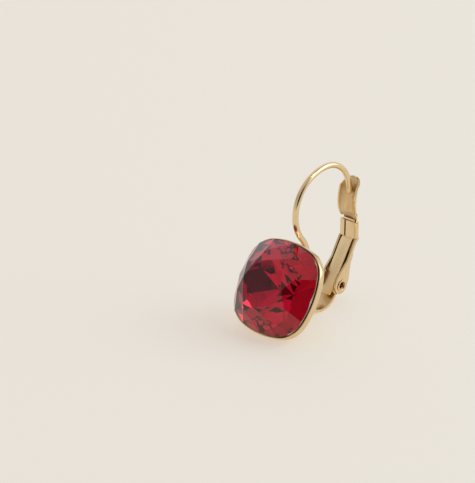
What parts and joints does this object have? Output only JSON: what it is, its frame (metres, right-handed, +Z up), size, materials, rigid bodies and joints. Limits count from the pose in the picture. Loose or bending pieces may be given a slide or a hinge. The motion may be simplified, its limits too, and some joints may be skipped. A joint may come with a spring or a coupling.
{
  "type": "lever-back drop earring",
  "caption": "Lever-back earring: a square cushion-cut red crystal in a gold cup, with a bent ear hook closed from behind by a hinged lever with a flat spring",
  "frame": {"origin": "on the floor, below the middle of the earring's box, with the earring standing by itself and leaning back", "axes": "X runs across the stone, Y from the front of the stone to the lever behind it, and Z is up"},
  "size_m": [0.0124, 0.0196, 0.0201],
  "materials": {
    "ruby_crystal": "polished ruby-red crystal with a reflecting back",
    "gold": "polished light gold plating"
  },
  "bodies": {
    "body": {"stone": "ruby_crystal", "setting": "gold", "hinge_pin": "gold"},
    "back": {"lever": "gold", "spring": "gold"}
  },
  "joints": [
    {"name": "lever_hinge", "type": "hinge", "parent": "body", "child": "back", "pos_m": [0, 0.00575, 0.00273], "axis": [-1, 0, 0], "range_deg": [0, 70]}
  ]
}
